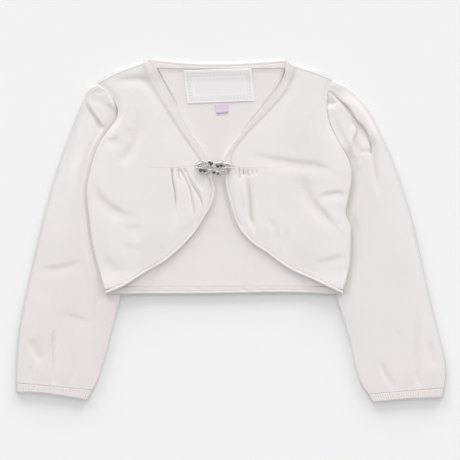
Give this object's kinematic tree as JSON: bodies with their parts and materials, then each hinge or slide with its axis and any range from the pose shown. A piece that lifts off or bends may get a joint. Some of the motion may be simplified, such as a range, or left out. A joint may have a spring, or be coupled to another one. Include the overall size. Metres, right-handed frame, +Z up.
{
  "type": "bolero jacket",
  "caption": "Child's cropped knit bolero laid flat, with long sleeves gathered at the head, a V neck, fronts gathered below a slash and curving away from a leaf clasp",
  "frame": {"origin": "middle of the base of the bounding box, on the surface that the jacket lies on", "axes": "+X towards the wearer's left sleeve, +Y towards the neck, +Z up off the surface"},
  "size_m": [0.4299, 0.3436, 0.0097],
  "materials": {
    "knit": "fine plain knit in off-white cotton, matt and soft",
    "knit_inside": "inside face of the same knit, slightly warmer and rougher",
    "cuff_rib": "narrow rib of the same yarn",
    "clasp_metal": "cast white metal with darkened hollows",
    "clasp_stone": "dark faceted stones, polished",
    "neck_label": null,
    "size_tab": "lilac woven tape"
  },
  "bodies": {
    "root": {"back": "knit_inside", "back_hem_band": "knit_inside", "back_neck_band": "knit_inside", "front_right": "knit", "front_left": "knit", "neck_band_right": "knit", "neck_band_left": "knit", "front_edge_right": "knit", "front_edge_left": "knit", "sleeve_right": "knit", "sleeve_left": "knit", "cuff_right": "cuff_rib", "cuff_left": "cuff_rib", "neck_label": "neck_label", "size_tab": "size_tab", "clasp_hook_half": "clasp_metal", "clasp_eye_half": "clasp_metal", "clasp_stone_1": "clasp_stone", "clasp_stone_2": "clasp_stone", "clasp_stone_3": "clasp_stone", "clasp_stone_4": "clasp_stone", "clasp_stone_5": "clasp_stone", "clasp_stone_6": "clasp_stone", "clasp_stone_7": "clasp_stone", "clasp_stone_8": "clasp_stone"}
  },
  "joints": []
}
